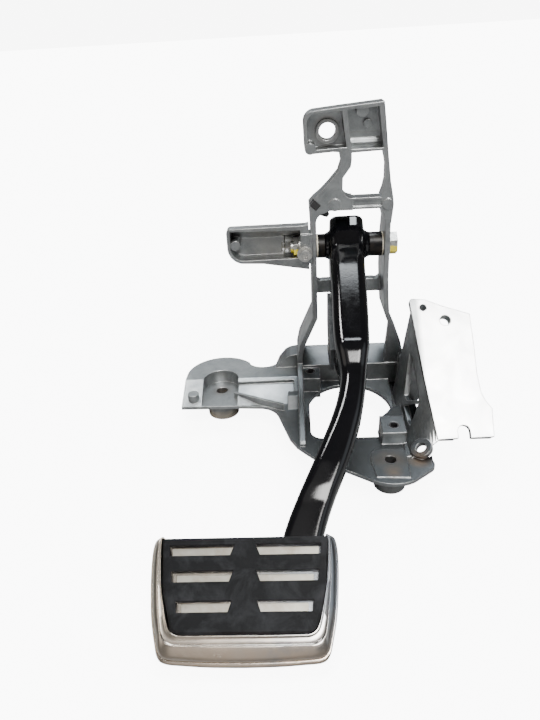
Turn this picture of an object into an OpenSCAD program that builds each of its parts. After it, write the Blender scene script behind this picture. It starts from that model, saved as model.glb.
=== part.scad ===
// Brake pedal on its cast bracket.
// X runs to the right, Y away from the driver, Z up from the firewall face of the mounting bosses.
// The origin is the middle of the right mounting boss, on that face. Drawn with the pedal pushed fully down.

/* [Base] */
// Height of the base plate's top over the firewall face
base_top = 23.5; // [20:0.5:28]
// Thickness of the base plate
base_t = 3; // [2.5:0.5:4]
// Distance of the left mounting hole to the left of the right one
lug_x = 143; // [135:1:150]
// Distance of the left mounting hole behind the right one
lug_y = 111.5; // [105:0.5:118]
// Bore of the right mounting boss
boss_bore = 9; // [8:0.5:10]
// Bore of the left mounting lug
lug_bore = 11; // [10:0.5:12]
// Diameter of the right mounting boss
boss_d = 25; // [22:0.5:26]
// Height of the left lug's raised deck over the firewall face
deck_top = 36; // [33:0.5:38]

/* [Booster seat] */
// Radius of the opening for the booster's neck
neck_r = 37; // [34:0.5:38]
// Lean of the booster seat towards the driver
seat_tilt = 5; // [3:1:7]
// Distance between the two booster studs
stud_pcd = 103; // [101:0.5:104]
// Bore in the stud seats
stud_bore = 8.2; // [7.8:0.1:8.6]
// Free bore of the stud clips
clip_bore = 6.2; // [6:0.1:6.6]

/* [Cheeks] */
// Front edge of the cheeks
front_y = 115; // [113:1:117]
// Back edge of the cheeks
back_y = 152; // [150:1:154]
// Wall thickness of the cheeks
wall = 4.6; // [4.2:0.2:5.2]
// Inner face of the left cheek at the pivot
left_in = -50.7; // [-51.5:0.1:-50]
// Inner face of the right cheek at the pivot
right_in = 6.4; // [6:0.1:7]

/* [Pivot] */
// Pivot axis behind the right mounting hole
pivot_y = 127; // [126.5:0.5:127.5]
// Pivot axis over the firewall face
pivot_z = 157; // [156:0.5:158]
// Diameter of the pivot bolt
bolt_d = 10; // [9:0.5:10.5]
// Outer diameter of the distance sleeve
sleeve_d = 14; // [13:0.5:14.5]
// Outer diameter of the bushes
bush_d = 17; // [16.5:0.1:17.5]
// Outer diameter of the tube across the pedal
tube_d = 20.5; // [20:0.5:21.5]

/* [Pedal arm] */
// Fall of the arm below the horizontal, from pivot to pad
arm_fall = 29; // [29:1:29]
// Sheet thickness of the arm
arm_t = 2.6; // [2.2:0.1:3]
// Corner radius of the arm's section
arm_r = 6.5; // [5:0.5:7]
// Number of sections along the arm
arm_sections = 44; // [30:1:50]

/* [Pad] */
// Width of the pad at its widest
pad_w = 115.5; // [114:0.5:117]
// Height of the pad along its face
pad_h = 73.5; // [72:0.5:75]
// Slope of the pad's face from the firewall plane
pad_tilt = 31; // [30:1:32]
// Thickness of the stainless sheet
sheet_t = 1.2; // [1:0.1:1.5]
// Height of one window in the rubber
window_h = 6.2; // [5.5:0.1:6.6]

/* [Hidden] */
$fn = 64;
big = 400;

// plan helpers

function unit(v) = v / norm(v);
function perp(v) = [-v[1], v[0]];
function dir_in(p, i) = unit(p[max(i, 1)] - p[max(i, 1) - 1]);
function dir_out(p, i) = unit(p[min(i, len(p) - 2) + 1] - p[min(i, len(p) - 2)]);
function mitre(p, i) = let (a = perp(dir_in(p, i)), b = perp(dir_out(p, i))) (a + b) / (1 + a * b);
// A band of even width t along the path p
function band(p, t) = concat(
    [for (i = [0:len(p) - 1]) p[i] + mitre(p, i) * t / 2],
    [for (i = [len(p) - 1:-1:0]) p[i] - mitre(p, i) * t / 2]);
// Points on an arc about c from angle a0 to a1
function arc(c, r, a0, a1, n = 8) = [for (i = [0:n]) c + r * [cos(a0 + (a1 - a0) * i / n), sin(a0 + (a1 - a0) * i / n)]];

// An XZ outline given depth from y0 back to y1
module front(y0, y1) {
    translate([0, y1, 0]) rotate([90, 0, 0]) linear_extrude(y1 - y0) children();
}

// A YZ outline given width from x0 to x1
module side(x0, x1) {
    translate([x0, 0, 0]) rotate([90, 0, 90]) linear_extrude(x1 - x0) children();
}

// A round bar along X from x0 to x1 at the pivot
module on_pivot(x0, x1, d) {
    translate([x0, pivot_y, pivot_z]) rotate([0, 90, 0]) cylinder(h = x1 - x0, d = d);
}

// A round bar along Y from y0 to y1
module along_y(x, z, y0, y1, r) {
    translate([x, y1, z]) rotate([90, 0, 0]) cylinder(h = y1 - y0, r = r);
}

// base plate and mounting lugs

lug = [-lug_x, lug_y];
lug_r = 33.5;
opening_c = [-26, 70.5];
wall_x = -67.9;
foot_x = 14.4;
beam_front = 114;
beam_back = 143;
beam_top_front = 46.4;
beam_top_back = 52.5;

base_outline = concat(
    [[lug[0] - lug_r - 1.5, 84.5], [-123.5, 83.3]],
    arc([-107, 63], 19, 90, 20),
    [[-78.4, 32.5], [-72.7, 21.5], [-66.3, 14], [-59.4, 6.5], [-35, -10.4]],
    arc([0, 2], 29.8, 232, 300),
    arc([24.5, -5], 8.8, 312, 380),
    [[33.2, 4.5], [33, 7], [16.5, 3], [16.5, 44], [34, 46], [34, 86], [31, 92], [31, beam_back], [-70.2, beam_back]],
    [[-70.2, 110], [-112, 110], [lug[0] - lug_r - 1.5, 110]]);

deck_outline = concat(
    [[-70, 82], [-123.5, 83.3], [lug[0] - lug_r - 1.5, 84.5]],
    arc([lug[0], lug[1] + 9], lug_r, 180, 41, 14),
    arc([-103.5, 148.5], 16.5, 222, 318),
    [[-88, 146], [-82, 150], [-70, 150]]);

module base_plate() {
    difference() {
        translate([0, 0, base_top - base_t]) linear_extrude(base_t) polygon(base_outline);
        translate([-65.6, 64, 0]) cube([80, beam_back - 68, base_top + 1]);
    }
    // behind the opening the plate rises with the booster seat
    side(-66, 14.6) polygon([[62, base_top - base_t], [62, base_top], [beam_front + 1, base_top + 5.4],
        [beam_front + 1, base_top + 2], [66, base_top - base_t]]);
}

// Round neck opening, flat towards the driver, cut straight on the left
module neck_opening() {
    corner = 10;
    left = opening_c[0] - neck_r + 2.4;
    front_edge = 31;
    linear_extrude(big, center = true) union() {
        intersection() {
            translate(opening_c) circle(neck_r);
            translate([left, opening_c[1] - 30]) square(big);
        }
        translate([left + corner, front_edge + corner]) circle(corner);
        translate([left, front_edge + corner]) square([60, opening_c[1] - front_edge - corner - 4]);
        translate([left + corner, front_edge]) square([46, corner + 1]);
    }
}

// Raised deck of the left lug and its neck, falling away towards the driver
module deck() {
    low = base_top - base_t;
    slope = [[78, low], [78, base_top - 1], [84.5, base_top], [112, deck_top], [160, deck_top], [160, low]];
    difference() {
        intersection() {
            linear_extrude(big) polygon(deck_outline);
            side(-200, -66) polygon(slope);
        }
        // pocket round the bolt, open to the front
        translate([lug[0], lug[1], base_top]) cylinder(h = big, r = 16.5);
        translate([lug[0] - 16.5, lug[1] - 60, base_top]) cube([33, 60, big]);
        // shallow channel along the neck, with a rib on its front side
        intersection() {
            linear_extrude(big) polygon([[-127, 96], [-84, 77.5], [-74.3, 82], [-74.3, 109], [-126, 108]]);
            side(-130, -70) polygon([[84, 23.2], [112, 32.5], [112, 60], [84, 60]]);
        }
        // cored out from below
        translate([0, 0, -1]) linear_extrude(deck_top - 4)
            polygon([[-122, 119], [-76, 119], [-76, 127], [-122, 127]]);
    }
    front_rib = [[-130, 98.6], [-83.4, 75.8], [-83.4, 73.3], [-130, 96.1]];
    translate([0, 0, base_top - 1]) linear_extrude(7.5) polygon(front_rib);
    // posts left by the ejectors, and the web up to the cheek
    translate([-167.2, 92.5, low]) cylinder(h = 12, r = 5);
    intersection() {
        linear_extrude(big) polygon(deck_outline);
        front(130, 150) polygon([[-97, deck_top - 3], [-92.8, deck_top - 1.5], [-87.2, 41], [-81, 46.5], [-77, 48.6],
            [-66.5, 50.5], [-66.5, deck_top - 3]]);
    }
    side(-80, wall_x) polygon([[74, base_top - 1], [86, deck_top - 5], [94, deck_top - 5], [94, base_top - 1]]);
}

module lug_boss() {
    translate([lug[0], lug[1], 0]) cylinder(h = base_top - 1, r1 = 14.6, r2 = 16.6);
}

module right_boss() {
    translate([0, 0, 0]) cylinder(h = base_top - 1, d = boss_d);
    // machined pad round the hole
    translate([0, 0, base_top - 1]) linear_extrude(1.8)
        polygon([[-15.3, -1.5], [-14.1, 8.4], [-10.3, 13.4], [12, 13.8], [13.7, 9.8], [12.1, -21.5], [-13, -20]]);
}

// booster seat

tilt_n = [0, -sin(seat_tilt), cos(seat_tilt)];
tilt_u = [0, cos(seat_tilt), sin(seat_tilt)];
stud_dx = 65;
stud_half = sqrt(stud_pcd * stud_pcd - stud_dx * stud_dx) / 2;
seat_c = [-25.9, 69, 39.7];
stud_left = seat_c + [-stud_dx / 2, 0, 0] + tilt_u * stud_half;
stud_right = seat_c + [stud_dx / 2, 0, 0] - tilt_u * stud_half;

// Places children on a stud seat, Z along the stud
module at_stud(p) {
    translate(p) rotate([seat_tilt, 0, 0]) children();
}

// Block under a stud seat, from x0 to x1 and y0 to y1 round the stud
module stud_block(p, x0, x1, y0, y1) {
    intersection() {
        at_stud(p) translate([x0, y0, -60]) cube([x1 - x0, y1 - y0, 60]);
        translate([-big / 2, -big / 2, base_top - base_t]) cube(big);
    }
}

module stud_blocks(gap) {
    stud_block(stud_left, -9 - gap, 8.6 + gap, -12 - gap, 12);
    stud_block(stud_right, -10.4 - gap, 9 + gap, -9.6 - gap, 12 + gap);
}

// Ramp behind the right stud seat, up to the wall's foot
module seat_ramp() {
    translate([0, 0, base_top - base_t]) linear_extrude(15.5) polygon([[-3.8, 41], [7, 54.4], [foot_x + 2, 60], [foot_x + 2, 41]]);
}

module stud_cuts() {
    for (p = [stud_left, stud_right]) at_stud(p) {
        translate([0, 0, -60]) cylinder(h = 70, d = stud_bore);
    }
}

// Cross beam behind the opening, open below, with ribs inside
module rear_beam() {
    outer = [[beam_front, base_top + 2], [beam_front, beam_top_front], [beam_back, beam_top_back], [beam_back, base_top - base_t],
        [beam_back - 8, base_top - base_t], [beam_back - 8, base_top + 2]];
    inner = [[beam_front + 5, 0], [beam_front + 5, beam_top_front - 4], [beam_back - 5, beam_top_back - 6], [beam_back - 5, 0]];
    difference() {
        side(-70, 27.5) polygon(outer);
        for (i = [0:3]) side(-56 + i * 19, -41 + i * 19) polygon(inner);
    }
}

// cheeks and upper frame

// Side view of the upright frame, which trims every part of it
frame_side = [[front_y, 10], [front_y, 280], [front_y + 18, 280], [front_y + 18, 238], [front_y + 13, 228],
    [front_y + 13, 206], [back_y - 10, 186], [back_y, 160], [back_y, 10]];

left_path = [[left_in - wall / 2, 190], [left_in - wall / 2, 94], [wall_x + 2.6, 66], [wall_x, 54], [wall_x, base_top - base_t]];
right_t = 4.3;
right_path = [[right_in + right_t / 2, 200], [right_in + right_t / 2, 130], [right_in + 3.2, 110], [right_in + 4.4, 96],
    [16.4, 81], [21.8, 68], [24.6, 56], [25, base_top - base_t]];

module low_wall() {
    side(wall_x - wall / 2, wall_x + wall / 2)
        polygon([[20, base_top - base_t], [20, 26], [22, 28], [front_y + 1, 48], [front_y + 1, base_top - base_t]]);
}

// Gusset and shoulder above the left cheek
module left_shoulder() {
    polygon(concat(
        [[-55.6, 178], [-56.4, 195.1], [-52.9, 199.8], [-40.7, 212], [-32.8, 221], [-30.4, 228.6], [-31.2, 233.9],
            [-33, 238], [-22, 238], [-21.9, 229.7], [-22.6, 224.4], [-28.8, 216.2]],
        arc([-20.6, 207.9], 8.4, 180, 270, 6),
        [[-20.6, 190], [-39.2, 190.2]],
        arc([-42.3, 180], 8.6, 130, 190, 4)));
}

module crossbar() {
    front(front_y + 1.5, front_y + 12) polygon([[-40, 190.6], [-40, 199.8], [9, 199.8], [9, 190.6]]);
    for (z = [191.7, 198.7]) front(front_y, front_y + 12) translate([-32, z - 1.1]) square([40, 2.2]);
}

module back_web() {
    front(back_y - 14, back_y - 6) difference() {
        translate([-53, 109]) square([62, 14.5]);
        translate([left_in + 4, 121]) square([right_in - left_in - 8, 5]);
        translate([left_in + 4, 124.6]) circle(4);
        translate([right_in - 4, 124.6]) circle(4);
    }
}

// Top lug: ring boss in a dished plate, and the boxed end beside it
ear_hole = [-40.5, 250.6];
ear_floor = front_y + 13;
ear_back = front_y + 18;

ear_outline = concat([[-36.7, 236.4]], arc([-54, 240.4], 5, 270, 180, 4), arc([-50.6, 258], 9, 180, 98, 6),
    [[-30.6, 268.7], [2.2, 271.2], [3.9, 257.8], [6, 236], [-23, 235]]);

module ear_plate() {
    difference() {
        front(front_y, ear_back) polygon(ear_outline);
        // dish round the ring boss
        front(front_y - 1, ear_floor) polygon(concat([[-25.4, 239.5]], arc([-53, 241.8], 3.4, 270, 180, 3),
            arc([-50.2, 257.9], 6.6, 180, 98, 5), [[-28.9, 265.9], [-27.4, 255.8]]));
        // boxed end, its floor curving forward at the bottom
        front(front_y - 1, ear_floor) polygon([[-23.6, 244], [-25.2, 252], [-26.8, 266.4], [-0.9, 267.9], [0.6, 257], [2, 244]]);
        side(-22.9, 3) polygon(concat([[front_y - 1, 248]], [[front_y - 1, 237.8]],
            arc([front_y + 1, 250], 12.2, 270, 355, 6), [[ear_floor, 250]]));
    }
    along_y(ear_hole[0], ear_hole[1], ear_floor - 5, ear_back + 1, 9.2);
    along_y(-14, 265.1, front_y + 2, ear_back, 4.6);
    along_y(-9.3, 254.9, ear_floor - 3, ear_back, 3.1);
    along_y(-54.5, 239.5, front_y - 1, ear_back, 4.3);
}

module rails() {
    front(front_y, back_y) polygon(band([[-28, 268.5], [-26.4, 254], [-24.3, 240], [-23.8, 230]], 3.7));
    front(front_y, back_y) polygon([[2.2, 271.2], [3.9, 257.8], [6.3, 235.8], [9.2, 212.8], [11.8, 199.2],
        [12.5, 193.5], [11.7, 184.6], [10.9, 178], [right_in, 178], [right_in - 3.6, 190], [2.2, 199.7],
        [4.9, 213], [4.9, 224.6], [2.8, 236], [-0.3, 258], [-1.8, 269.3]]);
}

module frame_posts() {
    along_y(-35.2, 195, front_y - 1, front_y + 12, 5);
    along_y(7.7, 193.8, front_y - 1, front_y + 12, 4.6);
}

// side tray

tray_outer = concat([[-57, 140.5], [-57, 180], [-60, 178.9]], arc([-122.6, 174.8], 3.6, 92, 180, 4),
    arc([-111.9, 162], 14.4, 185, 258, 7), [[-96, 147.1]]);
tray_inner = concat([[-64, 151], [-64, 175], [-123, 176]], arc([-112, 162], 11.6, 185, 262, 6));

module tray() {
    difference() {
        union() {
            intersection() {
                front(front_y, front_y + 21) polygon(tray_outer);
                side(-130, -50) polygon([[front_y, 138], [front_y, 183], [front_y + 6, 183], [front_y + 21, 164], [front_y + 21, 138]]);
            }
            on_pivot(-80, block_x, 26.5);
        }
        intersection() {
            front(front_y - 4, front_y + 15) polygon(tray_inner);
            side(-130, -50) polygon([[front_y - 4, 138], [front_y - 4, 183], [front_y + 3, 183], [front_y + 15, 166], [front_y + 15, 138]]);
        }
    }
    along_y(-119.4, 163.6, front_y + 1, front_y + 16, 4.3);
}

// Left face of the pivot block, and the face under the bolt's head
block_x = -64;
bolt_face = 11.2;

module pivot_bosses() {
    on_pivot(block_x, left_in - 0.5, 24);
    on_pivot(right_in + 0.5, bolt_face, 24);
    // block that carries the clamp screw
    front(front_y - 1, pivot_y) polygon([[block_x, 146], [block_x, 172], [-54, 172], [-54, 146]]);
    front(front_y - 3, front_y) polygon([[-63, 163.5], [-63, 172], [-57, 172], [-57, 163.5]]);
}

// accelerator plate

plate_tilt = 45;
plate_t = 5;
plate_o = [37.8, 9, 35.4];

// Places children on the accelerator plate: X right, Y up its slope, Z out of its face
module on_plate() {
    translate(plate_o) rotate([plate_tilt, 0, 0]) children();
}

plate_outline = concat([[0, 0], [16, 0.6]], arc([20.8, 6.2], 4.8, 180, 0, 8), [[25.6, 0.8], [43.6, 1.2]],
    [[44.6, 23.6], [40.5, 29.5], [37.5, 36.8], [36, 52.5], [36.2, 77.6], [35.6, 103.5], [14.8, 111], [0, 117.5]],
    arc([-10.2, 116], 2.6, 80, 190, 4), [[-6.3, 50.6]]);
accel_screw = [-2, 110.3];
accel_peg = [15.2, 98.5];

module accel_plate() {
    on_plate() difference() {
        union() {
            translate([0, 0, -plate_t]) linear_extrude(plate_t) polygon(plate_outline);
            // flange and ribs on the back
            translate([0, 0, -12]) linear_extrude(8) polygon(band([[1.5, 2], [14, 2]], 3));
            translate([0, 0, -12]) linear_extrude(8) polygon(band([[28, 2.8], [42, 2.8], [42.6, 23], [38, 30], [34.2, 40], [34, 101.5], [14, 108.8]], 3));
            translate([0, 0, -10]) linear_extrude(6) polygon(band([[-3, 60], [34, 60]], 3));
            translate([0, 0, -10]) linear_extrude(6) polygon(band([[-1, 32], [37, 32]], 3));
            translate([accel_screw[0], accel_screw[1], -14]) cylinder(h = 10, r = 6);
            translate([accel_peg[0], accel_peg[1], -10]) cylinder(h = 6, r = 8);
        }
        translate([accel_screw[0], accel_screw[1], -20]) cylinder(h = 30, d = 5.8);
        translate([accel_peg[0], accel_peg[1], -20]) cylinder(h = 30, d = 9);
    }
}

// Wall that twists from lying flat at the front to standing upright at the back, up to the plate's left edge
twist_n = 10;
foot_front = [foot_x, 1, base_top - 1];
foot_back = [foot_x, 92, base_top - 1];
edge_low = plate_o + [0.8, 0.2, -1.2];
edge_high = plate_o + [-10.4, 115 * cos(plate_tilt), 115 * sin(plate_tilt)];
function twist_at(a, b) = (1 - b) * ((1 - a) * foot_front + a * foot_back) + b * ((1 - a) * edge_low + a * edge_high);
function twist_normal(a, b) = unit(cross(twist_at(a + 0.01, b) - twist_at(a - 0.01, b), twist_at(a, b + 0.01) - twist_at(a, b - 0.01)));
function twist_row(s) = [for (i = [0:twist_n], j = [0:twist_n]) twist_at(i / twist_n, j / twist_n) + s * twist_normal(i / twist_n, j / twist_n)];

module twist_wall() {
    m = twist_n + 1;
    q = m * m;
    // the two skins, then the four edges between them
    quads = concat(
        [for (i = [0:twist_n - 1], j = [0:twist_n - 1]) [i * m + j, i * m + j + 1, (i + 1) * m + j + 1, (i + 1) * m + j]],
        [for (i = [0:twist_n - 1], j = [0:twist_n - 1]) [q + i * m + j, q + (i + 1) * m + j, q + (i + 1) * m + j + 1, q + i * m + j + 1]],
        [for (i = [0:twist_n - 1]) [i * m, (i + 1) * m, q + (i + 1) * m, q + i * m]],
        [for (i = [0:twist_n - 1]) [i * m + twist_n, q + i * m + twist_n, q + (i + 1) * m + twist_n, (i + 1) * m + twist_n]],
        [for (j = [0:twist_n - 1]) [j, q + j, q + j + 1, j + 1]],
        [for (j = [0:twist_n - 1]) [twist_n * m + j, twist_n * m + j + 1, q + twist_n * m + j + 1, q + twist_n * m + j]]);
    tris = [for (f = quads) each [[f[0], f[2], f[1]], [f[0], f[3], f[2]]]];
    polyhedron(points = concat(twist_row(0), twist_row(4)), faces = tris);
}

web_hole = [24.4, 6.9, 30];

module web_boss(d, h0, h1) {
    translate(web_hole) rotate([14, -26, 0]) translate([0, 0, h0]) cylinder(h = h1 - h0, d = d);
}

module right_wall() {
    difference() {
        twist_wall();
        // two windows with a rib between them
        side(10, 45) polygon([[75.5, 77], [68.6, 76], [62.9, 70.5], [46.1, 58.3], [40.2, 52], [54, 43.3], [61.6, 43.8], [69.6, 59]]);
        side(10, 45) polygon([[55.5, 37.8], [38.6, 49.6], [31.7, 33], [39.7, 33.3]]);
    }
    web_boss(17, -4.2, 0);
    // foot of the wall, and the cross wall seen through its window
    side(foot_x - 1, foot_x + 3) polygon([[3, base_top - base_t], [4, base_top + 0.5], [88, base_top + 3], [90, base_top - base_t]]);
    front(83, 87) polygon([[foot_x, base_top - base_t], [34, base_top - base_t], [44, 36], [44, 106], [33.5, 106],
        [29, 96], [foot_x + 4, 40]]);
    // web between the beam and the right cheek
    front(front_y, front_y + 5) polygon([[10.5, base_top + 4], [10.5, 66], [11.4, 75], [12.5, 92], [25, 60], [25.5, base_top + 4]]);
    side(22.5, 27) polygon([[85, base_top - base_t], [85, 56], [front_y + 2, 56], [front_y + 2, base_top - base_t]]);
}

module bracket() {
    color("silver") difference() {
        union() {
            base_plate();
            deck();
            lug_boss();
            right_boss();
            rear_beam();
            stud_blocks(0);
            seat_ramp();
            low_wall();
            intersection() {
                side(-80, 40) polygon(frame_side);
                union() {
                    front(100, 160) polygon(band(left_path, wall));
                    front(100, 160) polygon(band(right_path, right_t));
                    front(100, 160) left_shoulder();
                    rails();
                }
            }
            crossbar();
            back_web();
            ear_plate();
            frame_posts();
            tray();
            pivot_bosses();
            accel_plate();
            right_wall();
        }
        neck_opening_cut();
        stud_cuts();
        translate([0, 0, -1]) cylinder(h = 40, d = boss_bore);
        translate([lug[0], lug[1], -1]) cylinder(h = 30, d = lug_bore);
        translate([lug[0], lug[1], -1]) cylinder(h = 13, d = 26);
        on_pivot(-80, 30, bolt_d + 0.1);
        along_y(ear_hole[0], ear_hole[1], front_y - 5, ear_back + 5, 6.6);
        along_y(clamp_x, clamp_z, front_y - 10, pivot_y - 7, 2.5);
        stop_cut();
        web_boss(8.2, -20, 20);
        web_boss(13, -20, -4.2);
        // room for a spanner on the nut
        on_pivot(-78, block_x, 21);
    }
}

// The opening stops short of the beam and the stud seats
module neck_opening_cut() {
    difference() {
        intersection() {
            neck_opening();
            translate([-big / 2, 0, 0]) cube([big, beam_front - 1, beam_top_front + 20]);
        }
        stud_blocks(0.1);
    }
}

// fasteners and small pieces of the bracket

module lug_sleeve() {
    color("peru") translate([lug[0], lug[1], 0]) difference() {
        union() {
            cylinder(h = 12, d = 26);
        }
        translate([0, 0, -1]) cylinder(h = 20, d = lug_bore);
    }
}

module stud_clip(p) {
    color("black") at_stud(p) difference() {
        translate([0, 0, -8]) cylinder(h = 8, d = stud_bore);
        translate([0, 0, -9]) cylinder(h = 10, d = clip_bore);
    }
}

module stud_clip_left() {
    stud_clip(stud_left);
}

module stud_clip_right() {
    stud_clip(stud_right);
}

// Rubber stop: square head in a pocket of the left shoulder, stem through the rail, tail towards the pedal
stop_p = [-50.8, front_y, 194.8];
stop_turn = 43;
stop_w = 5.6;

module at_stop() {
    translate(stop_p) rotate([0, stop_turn, 0]) children();
}

module stop_cut() {
    at_stop() {
        translate([-20, -1, -stop_w / 2]) cube([20 + stop_w / 2, 9, stop_w]);
        translate([0, 4.2, 0]) rotate([0, 90, 0]) cylinder(h = 20, d = 4.5);
    }
}

module stop_buffer() {
    color("black") at_stop() {
        translate([-stop_w / 2 - 1, -0.4, -stop_w / 2]) cube([stop_w + 1, 8, stop_w]);
        translate([0, 4.2, 0]) rotate([0, 90, 0]) cylinder(h = 9.8, d = 4.5);
        translate([8.8, 4.2, 0]) rotate([0, 90, 0]) cylinder(h = 5, r1 = 4, r2 = 1.8);
    }
}

module hexagon(af, h) {
    rotate([0, 90, 0]) cylinder(h = h, d = af / cos(30), $fn = 6);
}

module pivot_bolt() {
    color("gainsboro") {
        on_pivot(-72.5, bolt_face, bolt_d);
        translate([bolt_face, pivot_y, pivot_z]) hexagon(17, 6.6);
    }
}

module pivot_washer() {
    color("gainsboro") difference() {
        on_pivot(block_x - 1.5, block_x, 20);
        on_pivot(-80, -60, bolt_d);
    }
}

module pivot_nut() {
    color("gold") difference() {
        translate([block_x - 6, pivot_y, pivot_z]) hexagon(15, 4.5);
        on_pivot(-80, -60, bolt_d);
    }
}

module pivot_sleeve() {
    color("gray") difference() {
        on_pivot(left_in, right_in, sleeve_d);
        on_pivot(-80, 30, bolt_d + 0.2);
    }
}

tube_left = left_in + 1.5;
tube_right = right_in - 1.5;

// Flanged bush: the flange runs against the cheek
module bush(x_face, dir) {
    color("tan") difference() {
        union() {
            on_pivot(dir > 0 ? x_face + 0.3 : x_face - 1.5, dir > 0 ? x_face + 1.5 : x_face - 0.3, tube_d);
            on_pivot(dir > 0 ? x_face + 1 : x_face - 15, dir > 0 ? x_face + 15 : x_face - 1, bush_d);
        }
        on_pivot(-80, 30, sleeve_d + 0.1);
    }
}

module bush_left() {
    bush(left_in, 1);
}

module bush_right() {
    bush(right_in, -1);
}

// Socket-head screw in front of the left pivot boss
clamp_x = -60.6;
clamp_z = 155;
clamp_face = front_y - 1;

module clamp_washer() {
    color("silver") difference() {
        along_y(clamp_x, clamp_z, clamp_face - 1.6, clamp_face, 6.6);
        along_y(clamp_x, clamp_z, clamp_face - 5, clamp_face + 5, 2.5);
    }
}

module clamp_screw() {
    color("silver") difference() {
        union() {
            along_y(clamp_x, clamp_z, clamp_face - 7, clamp_face - 1.6, 5);
            along_y(clamp_x, clamp_z, clamp_face - 3, pivot_y - 7.2, 2.5);
        }
        translate([clamp_x, clamp_face - 4, clamp_z]) rotate([90, 0, 0]) cylinder(h = 10, d = 5.2, $fn = 6);
    }
}

// pedal

// Places children at the pivot: X right, Y down the arm to the pad, Z out of the arm's face
module on_arm() {
    translate([0, pivot_y, pivot_z]) rotate([arm_fall, 0, 0]) mirror([0, 1, 0]) children();
}

// Along the arm from the pivot: distance, middle, half width, height of face, depth of back
arm_table = [
    [-21, -24.2, 14.2, 14.0, -5.0],
    [-13, -24.4, 14.4, 18.2, -13.5],
    [0, -24.9, 14.5, 17.6, -17.0],
    [14, -25.4, 14.5, 15.6, -17.0],
    [34, -26.2, 14.2, 14.2, -17.0],
    [62, -26.8, 14.1, 14.2, -18.0],
    [90, -27.8, 13.8, 14.6, -18.5],
    [108, -28.2, 13.0, 14.8, -17.0],
    [120, -28.4, 11.0, 12.6, -15.0],
    [134, -29.0, 9.6, 11.6, -12.5],
    [151, -32.0, 9.8, 11.2, -10.5],
    [166, -36.2, 10.6, 11.5, -9.5],
    [184, -42.9, 11.5, 11.0, -8.5],
    [201, -49.9, 12.1, 9.6, -8.5],
    [223, -60.0, 12.4, 6.2, -9.5],
    [240, -66.8, 12.8, 3.6, -10.5],
    [256, -71.5, 13.0, 3.7, -10.0],
    [302, -82.0, 13.0, 2.1, -10.0]];
arm_end = arm_table[len(arm_table) - 1][0];
arm_start = arm_table[0][0];

// Smooth reading of column k of a table at x
function row_at(t, x, i = 0) = (i >= len(t) - 2 || x < t[i + 1][0]) ? i : row_at(t, x, i + 1);
function grade(t, i, k) = let (a = max(i - 1, 0), b = min(i + 1, len(t) - 1)) (t[b][k] - t[a][k]) / (t[b][0] - t[a][0]);
function read(t, x, k) =
    let (i = row_at(t, x), h = t[i + 1][0] - t[i][0], u = (x - t[i][0]) / h)
    (2 * u * u * u - 3 * u * u + 1) * t[i][k] + (u * u * u - 2 * u * u + u) * h * grade(t, i, k)
    + (3 * u * u - 2 * u * u * u) * t[i + 1][k] + (u * u * u - u * u) * h * grade(t, i + 1, k);

corner_n = 4;
// One channel section: up the left side, over the face, down the right side, and back inside
function channel(x, w, top, low, r, t) = concat(
    [[x - w, low]],
    arc([x - w + r, top - r], r, 180, 90, corner_n), arc([x + w - r, top - r], r, 90, 0, corner_n),
    [[x + w, low], [x + w - t, low]],
    arc([x + w - r, top - r], r - t, 0, 90, corner_n), arc([x - w + r, top - r], r - t, 90, 180, corner_n),
    [[x - w + t, low]]);
channel_n = 4 * (corner_n + 1) + 4;

function station(i, n) = arm_start + (arm_end - arm_start) * i / n;
function in_3d(p, s) = [for (q = p) [q[0], s, q[1]]];
function arm_radius(s) = min(arm_r, (read(arm_table, s, 3) - read(arm_table, s, 4)) / 2 - arm_t);

// Skin between equal rings of points, which go up one side and back down the other
module loft(rings) {
    n = len(rings[0]);
    last = len(rings) - 1;
    polyhedron(
        points = [for (r = rings) each r],
        faces = concat(
            [for (j = [0:n / 2 - 2]) each [[j, j + 1, n - 2 - j], [j, n - 2 - j, n - 1 - j]]],
            [for (i = [0:last - 1], j = [0:n - 1]) each [
                [i * n + j, (i + 1) * n + j, (i + 1) * n + (j + 1) % n],
                [i * n + j, (i + 1) * n + (j + 1) % n, i * n + (j + 1) % n]]],
            [for (j = [0:n / 2 - 2], a = last * n) each [[a + n - 2 - j, a + j + 1, a + j], [a + n - 1 - j, a + n - 2 - j, a + j]]]));
}

module pedal_arm() {
    color("black") difference() {
        union() {
            on_arm() loft([for (i = [0:arm_sections]) let (s = station(i, arm_sections))
                in_3d(channel(read(arm_table, s, 1), read(arm_table, s, 2), read(arm_table, s, 3), read(arm_table, s, 4), arm_radius(s), arm_t), s)]);
            // weld collars round the tube
            for (m = [0, 1]) translate([-24.6, pivot_y, pivot_z]) mirror([m, 0, 0]) rotate([0, 90, 0])
                translate([0, 0, 13]) cylinder(h = 6, r1 = 15.5, r2 = tube_d / 2 + 0.3);
        }
        on_pivot(-80, 40, tube_d);
    }
}

module arm_back() {
    color("black") difference() {
        on_arm() loft([for (i = [6:arm_sections]) let (s = station(i, arm_sections), x = read(arm_table, s, 1),
            w = read(arm_table, s, 2) - arm_t + 0.05, low = read(arm_table, s, 4))
            in_3d([[x - w, low + 1], [x - w, low + 3], [x + w, low + 3], [x + w, low + 1]], s)]);
        on_pivot(-80, 40, tube_d);
    }
}

module pivot_tube() {
    color("black") difference() {
        on_pivot(tube_left, tube_right, tube_d);
        on_pivot(-80, 30, bush_d);
    }
}

// Side plate that carries the booster rod's joint
plate_x = -41;
plate_holes = [[72, -21], [84, -33], [98, -24]];

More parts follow.
